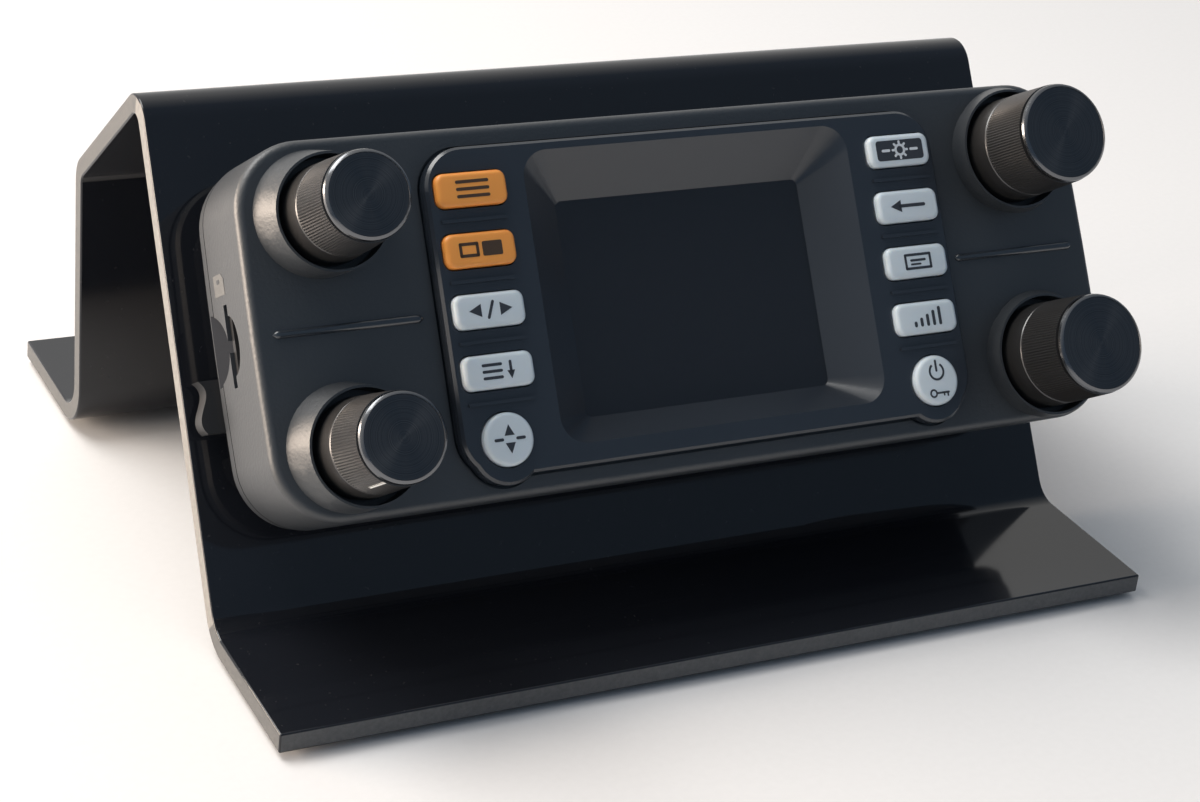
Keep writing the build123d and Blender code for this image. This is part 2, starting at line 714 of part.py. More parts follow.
def controller_jack():
    """Modular jack for the cable to the radio's main unit."""
    x1 = HEAD_W / 2 - WALL - 0.9
    jack = box(x1 - 13.5, x1, -6.4, 6.4, CASE_BACK + 2.2, -4.6)
    mouth = box(x1 - 12.0, x1 + 1, -4.9, 4.9, -14.6, -7.6)
    return jack - mouth


# ---------------------------------------------------------------- write every node

def write_stand():
    save(stand_sheet(), "stand_sheet")
    save(stand_feet(), "stand_feet")
    save_head(mount_bracket(), "mount_bracket")
    save_head(release_lever(), "release_lever")
    save_head(lever_pin(LEVER_PIN_R), "lever_pin")
    save_head(lever_spring(), "lever_spring")
    save_head(bracket_screws(), "bracket_screws")
    save_head(bracket_washers(), "bracket_washers")
    save_head(bracket_nuts(), "bracket_nuts")


def write_head():
    save_head(front_case(), "front_case")
    save_head(rear_case(), "rear_case")
    save_head(case_screws(), "case_screws")
    save_head(center_bezel(), "center_bezel")
    save_head(window_lens(), "window_lens")
    save_head(display_panel(), "display_panel")
    save_head(display_holder(), "display_holder")
    save_head(display_flex(), "display_flex")
    save_head(front_board(), "front_board")
    save_head(front_board_screws(), "front_board_screws")
    save_head(main_board(), "main_board")
    save_head(main_board_screws(), "main_board_screws")
    save_head(board_connector(), "board_connector")
    save_head(controller_chip(), "controller_chip")
    save_head(dome_switches(), "dome_switches")
    save_head(card_socket(), "card_socket")
    save_head(memory_card(), "memory_card")
    save_head(controller_jack(), "controller_jack")


LEFT_KEYS = ("menu_key", "group_key", "band_key", "memory_key")
RIGHT_KEYS = ("function_key", "back_key", "display_key", "squelch_key")


def write_keys():
    for side, names in ((-1, LEFT_KEYS), (1, RIGHT_KEYS)):
        for y, name in zip(KEY_ROWS, names):
            save_head(bar_key(side * KEY_X, y), name)
    save_head(round_key(-KEY_X, ROUND_KEY_Y), "channel_key")
    save_head(round_key(KEY_X, ROUND_KEY_Y), "power_key")
    for name, side in SIDES.items():
        save_head(keypad_mat(side), f"keypad_mat_{name}")


POINTER_ANGLES = {"left": 240.0, "right": 60.0}


def write_knobs():
    dial_y, volume_y = KNOB_ROWS
    for name, side in SIDES.items():
        x = side * KNOB_X
        radius = KNOB_R[name]
        nose_r = NOSE_R[name]
        angle = POINTER_ANGLES[name]
        save_head(knob(x, dial_y, radius, nose_r), f"dial_knob_{name}")
        save_head(knob_shaft(x, dial_y), f"dial_shaft_{name}")
        save_head(encoder_body(x, dial_y, -8.0), f"dial_encoder_{name}")
        save_head(push_plunger(x, dial_y), f"push_plunger_{name}")
        save_head(knob(x, volume_y, radius, nose_r, angle), f"volume_knob_{name}")
        save_head(knob_pointer(x, volume_y, radius, nose_r, angle), f"volume_pointer_{name}")
        save_head(knob_shaft(x, volume_y), f"volume_shaft_{name}")
        save_head(encoder_body(x, volume_y, -6.1), f"volume_control_{name}")


write_stand()
write_head()
write_keys()
write_knobs()
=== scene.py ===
"""Looks of the transceiver's control head and its bent-sheet desk stand."""
import json
import math

import bmesh
import bpy
from mathutils import Matrix, Vector

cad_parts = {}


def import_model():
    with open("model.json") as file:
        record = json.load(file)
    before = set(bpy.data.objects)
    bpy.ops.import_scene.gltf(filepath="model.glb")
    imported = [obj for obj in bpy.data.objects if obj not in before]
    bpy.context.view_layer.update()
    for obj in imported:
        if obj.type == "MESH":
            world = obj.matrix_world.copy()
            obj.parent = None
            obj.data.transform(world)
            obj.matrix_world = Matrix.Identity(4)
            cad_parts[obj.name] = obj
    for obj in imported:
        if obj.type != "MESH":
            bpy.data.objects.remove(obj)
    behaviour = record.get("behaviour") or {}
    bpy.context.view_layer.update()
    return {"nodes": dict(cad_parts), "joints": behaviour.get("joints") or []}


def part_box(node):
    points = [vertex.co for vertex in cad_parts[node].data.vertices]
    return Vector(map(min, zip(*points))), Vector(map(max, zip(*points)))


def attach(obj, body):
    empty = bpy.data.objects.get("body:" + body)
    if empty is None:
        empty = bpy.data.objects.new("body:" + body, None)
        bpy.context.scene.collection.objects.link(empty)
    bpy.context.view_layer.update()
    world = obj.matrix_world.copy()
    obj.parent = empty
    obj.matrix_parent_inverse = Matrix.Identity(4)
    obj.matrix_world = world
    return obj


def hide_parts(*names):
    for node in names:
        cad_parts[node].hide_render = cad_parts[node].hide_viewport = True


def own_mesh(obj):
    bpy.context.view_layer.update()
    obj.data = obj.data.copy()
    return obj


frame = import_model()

MM = 0.001
NODES = frame["nodes"]
JOINTS = {joint["name"]: joint for joint in frame["joints"]}

# The head's own frame, in millimetres: x right, y up the slope, z out of its face.
SLOPE = Vector(JOINTS["head_slide"]["axis"]).normalized()
NORMAL = Vector(JOINTS["dial_turn_left"]["axis"]).normalized()
DIAL_Y = 15.6
VOLUME_Y = -16.7
KNOB_X = 56.6


def pivot(joint):
    """A hinge's place in the row frame."""
    return Vector(JOINTS[joint]["pos_m"])


def head_frame():
    """Matrix from the head's millimetre frame to the row frame's metres."""
    hubs = ["dial_turn_left", "dial_turn_right", "volume_turn_left", "volume_turn_right"]
    middle = sum((pivot(hub) for hub in hubs), Vector()) / len(hubs)
    centre = middle - SLOPE * MM * (DIAL_Y + VOLUME_Y) / 2
    turn = Matrix((Vector((1, 0, 0)), SLOPE, NORMAL)).transposed().to_4x4()
    return Matrix.Translation(centre) @ turn @ Matrix.Scale(MM, 4)


HEAD = head_frame()


# ------------------------------------------------------------------ mesh helpers

def new_object(name, content):
    """Object in the scene around a mesh, a light or a camera."""
    obj = bpy.data.objects.new(name, content)
    bpy.context.scene.collection.objects.link(obj)
    return obj


def mesh_object(name, verts, faces, matrix=None):
    """Object from plain vertices and faces, moved into place."""
    mesh = bpy.data.meshes.new(name)
    mesh.from_pydata([tuple(v) for v in verts], [], faces)
    if matrix is not None:
        mesh.transform(matrix)
    mesh.validate()
    mesh.update()
    return new_object(name, mesh)


def recalculated(obj):
    """Turn all the faces outwards."""
    bm = bmesh.new()
    bm.from_mesh(obj.data)
    bmesh.ops.recalc_face_normals(bm, faces=bm.faces)
    bm.to_mesh(obj.data)
    bm.free()
    return obj


def shade(obj, angle):
    """Smooth shading that keeps edges sharper than an angle in degrees."""
    obj.data.set_sharp_from_angle(angle=math.radians(angle))
    return obj


def rounded_outline(width, height, radius, steps=6, cx=0.0, cy=0.0):
    """Points of a rounded rectangle, anticlockwise."""
    points = []
    for quarter, (sx, sy) in enumerate(((1, 1), (-1, 1), (-1, -1), (1, -1))):
        corner_x = cx + sx * (width / 2 - radius)
        corner_y = cy + sy * (height / 2 - radius)
        for step in range(steps + 1):
            angle = math.pi / 2 * (quarter + step / steps)
            points.append((corner_x + radius * math.cos(angle), corner_y + radius * math.sin(angle)))
    return points


def circle_outline(radius, steps=48, cx=0.0, cy=0.0):
    """Points of a circle, anticlockwise."""
    turns = [2 * math.pi * step / steps for step in range(steps)]
    return [(cx + radius * math.cos(turn), cy + radius * math.sin(turn)) for turn in turns]


def ring_stack(name, rings, matrix=None):
    """Skin a stack of rings, each a list of as many 3-D points, into one closed mesh."""
    count = len(rings[0])
    verts = [point for ring in rings for point in ring]
    faces = []
    for level in range(len(rings) - 1):
        low = level * count
        high = low + count
        for i in range(count):
            j = (i + 1) % count
            faces.append((low + i, low + j, high + j, high + i))
    top = (len(rings) - 1) * count
    faces.append(tuple(reversed(range(count))))
    faces.append(tuple(range(top, top + count)))
    return mesh_object(name, verts, faces, matrix)


def prism_set(name, outlines, z0, z1, matrix):
    """Several flat outlines pushed up into one mesh of thin prisms."""
    verts = []
    faces = []
    for outline in outlines:
        start = len(verts)
        count = len(outline)
        verts += [(x, y, z0) for x, y in outline]
        verts += [(x, y, z1) for x, y in outline]
        faces.append(tuple(start + i for i in reversed(range(count))))
        faces.append(tuple(start + count + i for i in range(count)))
        for i in range(count):
            j = (i + 1) % count
            faces.append((start + i, start + j, start + count + j, start + count + i))
    return recalculated(mesh_object(name, verts, faces, matrix))


# ------------------------------------------------------------------ material helpers

def new_material(name):
    """A material, its nodes, its links and its shader."""
    mat = bpy.data.materials.new(name)
    mat.use_nodes = True
    return mat, mat.node_tree.nodes, mat.node_tree.links, mat.node_tree.nodes["Principled BSDF"]


def put(shader, **values):
    """Set shader inputs by name, with underscores for spaces."""
    for key, value in values.items():
        shader.inputs[key.replace("_", " ")].default_value = value


def noise(nodes, links, coords, scale, detail=3.0, rough=0.5):
    """Noise at a scale given in features per millimetre."""
    node = nodes.new("ShaderNodeTexNoise")
    node.inputs["Scale"].default_value = scale / MM
    node.inputs["Detail"].default_value = detail
    node.inputs["Roughness"].default_value = rough
    links.new(coords, node.inputs["Vector"])
    return node.outputs["Fac"]


def spread(nodes, links, value, low, high, start=0.0, end=1.0):
    """Map a value from one range to another."""
    node = nodes.new("ShaderNodeMapRange")
    node.inputs["From Min"].default_value = start
    node.inputs["From Max"].default_value = end
    node.inputs["To Min"].default_value = low
    node.inputs["To Max"].default_value = high
    links.new(value, node.inputs["Value"])
    return node.outputs["Result"]


def blend_colour(nodes, links, factor, first, second):
    """Mix two colours by a factor."""
    node = nodes.new("ShaderNodeMix")
    node.data_type = "RGBA"
    node.inputs["A"].default_value = (*first, 1)
    node.inputs["B"].default_value = (*second, 1)
    links.new(factor, node.inputs["Factor"])
    return node.outputs["Result"]


def bump(nodes, links, height, depth_mm, shader):
    """Bump from a height between 0 and 1, its depth in millimetres."""
    node = nodes.new("ShaderNodeBump")
    node.inputs["Strength"].default_value = 1.0
    node.inputs["Distance"].default_value = depth_mm * MM
    links.new(height, node.inputs["Height"])
    links.new(node.outputs["Normal"], shader.inputs["Normal"])


def object_coords(nodes):
    """A piece's own coordinates, in metres."""
    return nodes.new("ShaderNodeTexCoord").outputs["Object"]


def moulded(name, colour, rough, grain=2.2, depth=0.02, vary=0.06, spec=0.5):
    """Moulded plastic with a fine pebbled grain and slightly uneven sheen."""
    mat, nodes, links, shader = new_material(name)
    coords = object_coords(nodes)
    cloud = noise(nodes, links, coords, 0.05, 4.0)
    pebbles = noise(nodes, links, coords, grain, 2.0)
    lighter = tuple(min(1.0, c * 1.25 + 0.002) for c in colour)
    links.new(blend_colour(nodes, links, cloud, colour, lighter), shader.inputs["Base Color"])
    links.new(spread(nodes, links, cloud, rough - vary, rough + vary), shader.inputs["Roughness"])
    bump(nodes, links, pebbles, depth, shader)
    put(shader, Specular_IOR_Level=spec)
    return mat


def parted_case(name, colour, rough, seam, **look):
    """Moulded case plastic with a line of painted shade, near-black and without reflection, where the
    front and rear shells meet.
    """
    mat = moulded(name, colour, rough, **look)
    nodes, links = mat.node_tree.nodes, mat.node_tree.links
    shader = nodes["Principled BSDF"]
    height = nodes.new("ShaderNodeVectorMath")
    height.operation = "DOT_PRODUCT"
    height.inputs[1].default_value = NORMAL
    links.new(object_coords(nodes), height.inputs[0])
    at_seam = nodes.new("ShaderNodeMath")
    at_seam.operation = "COMPARE"
    at_seam.inputs[1].default_value = HEAD.translation.dot(NORMAL) + PARTING_Z * MM
    at_seam.inputs[2].default_value = PARTING_W / 2 * MM
    links.new(height.outputs["Value"], at_seam.inputs[0])
    # Painted shade along the seam: near-black colour, and no reflection below
    tint = blend_colour(nodes, links, at_seam.outputs["Value"], colour, seam)
    links.new(shader.inputs["Base Color"].links[0].from_socket, tint.node.inputs["A"])
    links.new(tint, shader.inputs["Base Color"])
    links.new(spread(nodes, links, at_seam.outputs["Value"], look["spec"], 0.0),
              shader.inputs["Specular IOR Level"])
    return mat


def metal(name, colour, rough):
    """Plated metal with fine scratches."""
    mat, nodes, links, shader = new_material(name)
    coords = object_coords(nodes)
    streaks = noise(nodes, links, coords, 3.0, 6.0, 0.7)
    put(shader, Metallic=1.0, Base_Color=(*colour, 1))
    links.new(spread(nodes, links, streaks, rough - 0.08, rough + 0.12), shader.inputs["Roughness"])
    bump(nodes, links, streaks, 0.01, shader)
    return mat


def sheet_material():
    """Polished black sheet with faint dust and handling marks."""
    mat, nodes, links, shader = new_material("stand_black")
    coords = object_coords(nodes)
    smears = noise(nodes, links, coords, 0.03, 5.0, 0.6)
    dust = noise(nodes, links, coords, 1.6, 1.0)
    specks = spread(nodes, links, dust, 0.0, 1.0, 0.74, 0.78)
    links.new(blend_colour(nodes, links, specks, (0.0105, 0.012, 0.016), (0.03, 0.03, 0.033)),
              shader.inputs["Base Color"])
    links.new(spread(nodes, links, smears, 0.04, 0.12, 0.3, 0.7), shader.inputs["Roughness"])
    wave = noise(nodes, links, coords, 0.04, 2.0)
    bump(nodes, links, wave, 0.02, shader)
    put(shader, IOR=1.49)
    return mat


def sawn_edge_material(name, colour, dark):
    """Cut edge of the sheet, with fine saw lines across it."""
    mat, nodes, links, shader = new_material(name)
    coords = object_coords(nodes)
    lines = noise(nodes, links, coords, 1.4, 5.0, 0.7)
    links.new(blend_colour(nodes, links, spread(nodes, links, lines, 0, 1, 0.35, 0.7), dark, colour),
              shader.inputs["Base Color"])
    links.new(spread(nodes, links, lines, 0.3, 0.55), shader.inputs["Roughness"])
    bump(nodes, links, lines, 0.02, shader)
    return mat


def key_material(name, colour, deep):
    """Milky translucent key plastic, deeper in colour down its sides."""
    mat, nodes, links, shader = new_material(name)
    coords = object_coords(nodes)
    cloud = noise(nodes, links, coords, 0.25, 3.0)
    facing = nodes.new("ShaderNodeLayerWeight")
    facing.inputs["Blend"].default_value = 0.35
    rim = spread(nodes, links, facing.outputs["Facing"], 0, 1, 0.2, 0.95)
    base = blend_colour(nodes, links, rim, colour, deep)
    links.new(base, shader.inputs["Base Color"])
    links.new(spread(nodes, links, cloud, 0.34, 0.46), shader.inputs["Roughness"])
    grain = noise(nodes, links, coords, 4.0, 2.0)
    bump(nodes, links, grain, 0.006, shader)
    put(shader, Subsurface_Weight=0.25, Subsurface_Scale=0.6 * MM)
    shader.inputs["Subsurface Radius"].default_value = (1.0, 0.8, 0.6)
    return mat


def knob_skirt_material():
    """Black anodised skirt with faint turning marks round it."""
    mat, nodes, links, shader = new_material("knob_black")
    coords = object_coords(nodes)
    split = nodes.new("ShaderNodeSeparateXYZ")
    links.new(coords, split.inputs["Vector"])
    rings = nodes.new("ShaderNodeTexNoise")
    rings.noise_dimensions = "1D"
    rings.inputs["Scale"].default_value = 9.0 / MM
    links.new(split.outputs["Z"], rings.inputs["W"])
    links.new(spread(nodes, links, rings.outputs["Fac"], 0.26, 0.4), shader.inputs["Roughness"])
    bump(nodes, links, rings.outputs["Fac"], 0.006, shader)
    put(shader, Base_Color=(0.108, 0.107, 0.108, 1), Metallic=0.85, Specular_IOR_Level=0.6)
    return mat


def bright_ring_material():
    """Diamond-cut bevel round a knob's nose."""
    mat, nodes, links, shader = new_material("knob_cut_ring")
    coords = object_coords(nodes)
    marks = noise(nodes, links, coords, 2.0, 4.0)
    links.new(spread(nodes, links, marks, 0.14, 0.24), shader.inputs["Roughness"])
    put(shader, Base_Color=(0.16, 0.165, 0.175, 1), Metallic=1.0)
    return mat


def spun_nose_material():
    """Circular-brushed end face of a knob: light gathers in radial fans."""
    mat, nodes, links, shader = new_material("knob_spun_nose")
    coords = object_coords(nodes)
    split = nodes.new("ShaderNodeSeparateXYZ")
    links.new(coords, split.inputs["Vector"])
    flat = nodes.new("ShaderNodeCombineXYZ")
    links.new(split.outputs["X"], flat.inputs["X"])
    links.new(split.outputs["Y"], flat.inputs["Y"])
    length = nodes.new("ShaderNodeVectorMath")
    length.operation = "LENGTH"
    links.new(flat.outputs["Vector"], length.inputs[0])
    rings = nodes.new("ShaderNodeTexNoise")
    rings.noise_dimensions = "1D"
    rings.inputs["Scale"].default_value = 7.0 / MM
    rings.inputs["Detail"].default_value = 4.0
    links.new(length.outputs["Value"], rings.inputs["W"])
    tone = blend_colour(nodes, links, rings.outputs["Fac"], (0.035, 0.038, 0.043), (0.15, 0.153, 0.16))
    links.new(tone, shader.inputs["Base Color"])
    links.new(spread(nodes, links, rings.outputs["Fac"], 0.26, 0.4), shader.inputs["Roughness"])
    bump(nodes, links, rings.outputs["Fac"], 0.012, shader)
    tangent = nodes.new("ShaderNodeTangent")
    tangent.direction_type = "RADIAL"
    tangent.axis = "Z"
    links.new(tangent.outputs["Tangent"], shader.inputs["Tangent"])
    put(shader, Metallic=1.0, Anisotropic=0.9)
    return mat


def window_material():
    """Smoked clear window."""
    mat, nodes, links, shader = new_material("window_clear")
    coords = object_coords(nodes)
    smears = noise(nodes, links, coords, 0.08, 4.0)
    links.new(spread(nodes, links, smears, 0.03, 0.12), shader.inputs["Roughness"])
    put(shader, Base_Color=(0.13, 0.14, 0.17, 1), Transmission_Weight=0.9)
    put(shader, IOR=1.5, Specular_IOR_Level=0.35)
    return mat


def display_material():
    """Unlit liquid-crystal display with a faint grid of dots."""
    mat, nodes, links, shader = new_material("display_dark")
    coords = object_coords(nodes)
    grid = nodes.new("ShaderNodeTexBrick")
    grid.offset = 0.0
    grid.inputs["Scale"].default_value = 1 / (0.5 * MM)
    grid.inputs["Color1"].default_value = (0.006, 0.008, 0.014, 1)
    grid.inputs["Color2"].default_value = (0.008, 0.010, 0.016, 1)
    grid.inputs["Mortar"].default_value = (0.004, 0.005, 0.008, 1)
    grid.inputs["Mortar Size"].default_value = 0.03
    links.new(coords, grid.inputs["Vector"])
    links.new(grid.outputs["Color"], shader.inputs["Base Color"])
    put(shader, Roughness=0.35)
    return mat


def board_material():
    """Lacquered circuit board with faint copper tracks."""
    mat, nodes, links, shader = new_material("board_green")
    coords = object_coords(nodes)
    tracks = nodes.new("ShaderNodeTexBrick")
    tracks.inputs["Scale"].default_value = 1 / (4.0 * MM)
    tracks.inputs["Color1"].default_value = (0.01, 0.09, 0.04, 1)
    tracks.inputs["Color2"].default_value = (0.015, 0.12, 0.05, 1)
    tracks.inputs["Mortar"].default_value = (0.03, 0.17, 0.07, 1)
    links.new(coords, tracks.inputs["Vector"])
    links.new(tracks.outputs["Color"], shader.inputs["Base Color"])
    put(shader, Roughness=0.3)
    return mat


def floor_material():
    """Plain pale paper sweep."""
    mat, nodes, links, shader = new_material("sweep_paper")
    coords = object_coords(nodes)
    fibres = noise(nodes, links, coords, 0.8, 4.0)
    links.new(blend_colour(nodes, links, fibres, (0.82, 0.805, 0.795), (0.86, 0.845, 0.835)),
              shader.inputs["Base Color"])
    bump(nodes, links, fibres, 0.01, shader)
    put(shader, Roughness=0.75, Specular_IOR_Level=0.2)
    return mat


def ink_material(name, colour):
    """Printed ink."""
    return moulded(name, colour, 0.5, grain=6.0, depth=0.003)


# The line where the front and rear shells meet, in the head's millimetre frame.
PARTING_Z = -15.05
PARTING_W = 0.55
# Near-black painted shade for the gap along that line
SEAM_SHADE = (0.002, 0.002, 0.002)

MATERIALS = {
    "case": parted_case("case_black", (0.023, 0.027, 0.032), 0.45, SEAM_SHADE, grain=1.9, depth=0.045,
                        spec=0.85),
    # Painted shade for the thumb scoop's floor: darker, dull and without reflection
    "scoop": moulded("scoop_painted_shade", (0.022, 0.024, 0.028), 0.7, grain=1.9, depth=0.02, spec=0.0),
    "bezel": moulded("bezel_black", (0.017, 0.022, 0.03), 0.25, 3.5, 0.008, vary=0.03, spec=0.75),
    "glint": moulded("case_polished", (0.021, 0.027, 0.035), 0.16, 3.0, 0.004, vary=0.03, spec=1.0),
    "bracket": moulded("bracket_black", (0.014, 0.015, 0.017), 0.5, grain=2.0, depth=0.03),
    "foot": moulded("foot_rubber", (0.02, 0.02, 0.02), 0.75, grain=1.5, depth=0.05),
    "sheet": sheet_material(),
    # One sawn edge finish with real saw lines, in three tones of painted light: lit, dim and painted shade
    "edge_painted_lit": sawn_edge_material("stand_edge_painted_lit", (0.27, 0.26, 0.24), (0.17, 0.16, 0.15)),
    "edge_painted_dim": sawn_edge_material("stand_edge_painted_dim", (0.11, 0.108, 0.104), (0.06, 0.06, 0.06)),
    "edge_painted_shade": sawn_edge_material("stand_edge_painted_shade", (0.085, 0.09, 0.095), (0.05, 0.053, 0.058)),
    "key_white": key_material("key_white", (0.68, 0.75, 0.79), (0.27, 0.33, 0.40)),
    "key_orange": key_material("key_orange", (1.0, 0.385, 0.08), (0.62, 0.15, 0.016)),
    "ink_dark": ink_material("ink_dark", (0.03, 0.035, 0.045)),
    "ink_brown": ink_material("ink_brown", (0.06, 0.035, 0.02)),
    "ink_light": ink_material("ink_light", (0.62, 0.65, 0.68)),
    "ink_wall": ink_material("ink_wall", (0.10, 0.10, 0.098)),
    "skirt": knob_skirt_material(),
    "nose": spun_nose_material(),
    "ring": bright_ring_material(),
    "pointer": moulded("pointer_white", (0.82, 0.82, 0.78), 0.35),
    "steel": metal("steel", (0.56, 0.56, 0.55), 0.32),
    "gold": metal("contact_gold", (0.75, 0.55, 0.2), 0.28),
    "window": window_material(),
    "display": display_material(),
    "board": board_material(),
    "nylon": moulded("inner_plastic", (0.62, 0.62, 0.58), 0.45),
    "part": moulded("component_black", (0.012, 0.012, 0.013), 0.42),
    "silicone": moulded("mat_rubber", (0.45, 0.45, 0.44), 0.6),
    "film": moulded("flex_amber", (0.45, 0.2, 0.03), 0.3),
}


def dress(obj, *names):
    """Give an object its materials, in slot order."""
    obj.data.materials.clear()
    for name in names:
        obj.data.materials.append(MATERIALS[name])
    return obj


# ------------------------------------------------------------------ stand

SHEET_T = 3.0
SHEET_BEND_R = 5.0
SHEET_EASE = 0.25
BEND_STEPS = 14
LIP_L = 26.3
PANEL_L = 79.0
KNEE_OUT = 29.3
KNEE_DROP = 24.3
HEEL_IN = 3.1


def box_mm(node):
    """A node's corners in millimetres."""
    low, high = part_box(node)
    return Vector(low) / MM, Vector(high) / MM


def filleted(points, radius):
    """Replace each inner corner of an open path by an arc."""
    path = [Vector(points[0])]
    for i in range(1, len(points) - 1):
        corner = Vector(points[i])
        before = (Vector(points[i - 1]) - corner).normalized()
        after = (Vector(points[i + 1]) - corner).normalized()
        half = before.angle(after) / 2
        reach = radius / math.tan(half)
        centre = corner + (before + after).normalized() * radius / math.sin(half)
        first = corner + before * reach - centre
        last = corner + after * reach - centre
        sweep = first.angle_signed(last)
        for step in range(BEND_STEPS + 1):
            turn = -sweep * step / BEND_STEPS
            c, s = math.cos(turn), math.sin(turn)
            path.append(centre + Vector((first.x * c - first.y * s, first.x * s + first.y * c)))
    path.append(Vector(points[-1]))
    return path


def stand_path():
    """Side view of the sheet's upper surface, from the front lip to the rear flange."""
    low, high = box_mm("stand_sheet")
    top_of_flange = low.z + SHEET_T
    slope = Vector((SLOPE.y, SLOPE.z))
    bend = Vector((low.y + LIP_L, top_of_flange))
    crown = bend + slope * PANEL_L
    knee = crown + Vector((KNEE_OUT, -KNEE_DROP))
    heel = Vector((knee.x - HEEL_IN, top_of_flange))
    return [Vector((low.y, top_of_flange)), bend, crown, knee, heel, Vector((high.y, top_of_flange))]


def sheet_outline():
    """Side view of the sheet: its upper surface forwards, then its lower surface back."""
    upper = filleted(stand_path(), SHEET_BEND_R)
    lower = []
    for i, point in enumerate(upper):
        ahead = upper[min(i + 1, len(upper) - 1)] - upper[max(i - 1, 0)]
        ahead.normalize()
        lower.append(point - Vector((-ahead.y, ahead.x)) * SHEET_T)
    return upper + lower[::-1]


def sheet_mesh():
    """The bent sheet as one closed mesh of four-sided faces."""
    outline = sheet_outline()
    low, high = box_mm("stand_sheet")
    count = len(outline)
    half = count // 2
    verts = [(x, p.x, p.y) for x in (low.x, high.x) for p in outline]
    faces = []
    for i in range(half - 1):
        faces.append((i, i + 1, count + i + 1, count + i))
        k = count - 1 - i
        faces.append((k, count + k, count + k - 1, k - 1))
        faces.append((i, k, k - 1, i + 1))
        faces.append((count + i, count + i + 1, count + k - 1, count + k))
    faces.append((0, count, 2 * count - 1, count - 1))
    faces.append((half - 1, half, count + half, count + half - 1))
    return recalculated(mesh_object("bent_sheet", verts, faces, Matrix.Scale(MM, 4)))


def edge_finish(face):
    """Material slot of a face: polished, or where the sheet is cut, one sawn edge in three tones of
    painted light: lit on the panel's ends, dim on the other ends, painted shade on the front and back
    edges.
    """
    low, high = box_mm("stand_sheet")
    _, bend, crown, _, _, _ = stand_path()
    middle = face.center / MM
    if abs(face.normal.x) > 0.9:
        return 1 if middle.z > bend.y and middle.y < crown.x + 1.0 else 3
    sits_at_end = middle.y < low.y + 1 or middle.y > high.y - 1
    return 2 if sits_at_end and abs(face.normal.y) > 0.99 else 0


def stand_sheet():
    """The bent sheet, with eased edges, sawn ends painted lit and dim, and painted shade on its front and
    back edges.
    """
    obj = dress(sheet_mesh(), "sheet", "edge_painted_lit", "edge_painted_shade", "edge_painted_dim")
    for face in obj.data.polygons:
        face.material_index = edge_finish(face)
    ease = obj.modifiers.new("eased_edges", "BEVEL")
    ease.width = SHEET_EASE * MM
    ease.segments = 3
    ease.limit_method = "ANGLE"
    ease.angle_limit = math.radians(50)
    ease.material = 0
    ease.harden_normals = False
    shade(obj, 40)
    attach(obj, "stand")
    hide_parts("stand_sheet")


# ------------------------------------------------------------------ knobs

KNOB_BASE_Z = 0.9
KNOB_TOP_Z = 17.1
KNURL_START = 7.4
KNURL_END = 15.7
FLUTE_PITCH = 0.44
FLUTE_DEPTH = 0.16
FLUTE_STEPS = 4
KNOB_BORE_R = 4.1
KNOB_BORE_D = 3.0
NOSE_R = {"left": 6.2, "right": 7.5}
NOSE_START = KNURL_END + 0.55
NOSE_RIM = 0.52


def knob_rings(radius, nose):
    """(height, radius, flute depth) down a knob's profile, from its bore to its nose."""
    span = KNOB_TOP_Z - 0.8 - KNOB_BASE_Z

    def taper(z):
        return radius + (nose + 0.1 - radius) * (z - KNOB_BASE_Z) / span

    rings = [(KNOB_BASE_Z + KNOB_BORE_D, KNOB_BORE_R, 0), (KNOB_BASE_Z, KNOB_BORE_R, 0)]
    rings += [(KNOB_BASE_Z, radius - 0.5, 0), (KNOB_BASE_Z + 0.15, radius - 0.15, 0)]
    rings += [(KNOB_BASE_Z + 0.5, radius, 0), (KNURL_START - 0.45, taper(KNURL_START), 0)]
    rings += [(KNURL_START - 0.3, taper(KNURL_START) - 0.1, 0), (KNURL_START, taper(KNURL_START), 0)]
    rings += [(KNURL_START + 0.25, taper(KNURL_START) + 0.03, FLUTE_DEPTH)]
    rings += [(KNURL_END, taper(KNURL_END) + 0.03, FLUTE_DEPTH), (KNURL_END + 0.15, taper(KNURL_END), 0)]
    rings += [(KNURL_END + 0.2, nose - 0.3, 0), (KNURL_END + 0.5, nose - 0.3, 0)]
    rings += [(NOSE_START, nose - 0.02, 0), (KNURL_END + 0.7, nose + 0.04, 0)]
    rings += [(KNOB_TOP_Z - 0.35, nose - 0.08, 0), (KNOB_TOP_Z - 0.04, nose - 0.42, 0)]
    rings += [(KNOB_TOP_Z, nose - 0.5, 0), (KNOB_TOP_Z - 0.12, nose - 0.56, 0)]
    rings += [(KNOB_TOP_Z - 0.14, nose * 0.5, 0), (KNOB_TOP_Z - 0.2, nose * 0.08, 0)]
    return rings


def knob_mesh(name, radius, nose, matrix):
    """Lathe-turned knob with straight flutes round its front half."""
    flutes = round(2 * math.pi * radius / FLUTE_PITCH)
    count = flutes * FLUTE_STEPS
    rings = []
    for z, r, depth in knob_rings(radius, nose):
        ring = []
        for i in range(count):
            turn = 2 * math.pi * i / count
            cut = depth * (0.5 - 0.5 * math.cos(flutes * turn))
            ring.append(((r - cut) * math.cos(turn) * MM, (r - cut) * math.sin(turn) * MM, z * MM))
        rings.append(ring)
    obj = ring_stack(name, rings)
    obj.matrix_world = matrix
    dress(obj, "skirt", "nose", "ring")
    for face in obj.data.polygons:
        reach = math.hypot(face.center.x, face.center.y) / MM
        if face.center.z > NOSE_START * MM:
            face.material_index = 1 if reach < nose - NOSE_RIM else 2
    return shade(obj, 28)


def head_place(x, y):
    """Matrix of a piece on the face whose own axes follow the head's, in metres."""
    spot = HEAD @ Vector((x, y, 0.0))
    axes = HEAD.to_3x3().normalized().to_4x4()
    return Matrix.Translation(spot) @ axes


def knob_radius(node):
    """The CAD knob's base radius: half its width along X."""
    low, high = box_mm(node)
    return (high.x - low.x) / 2


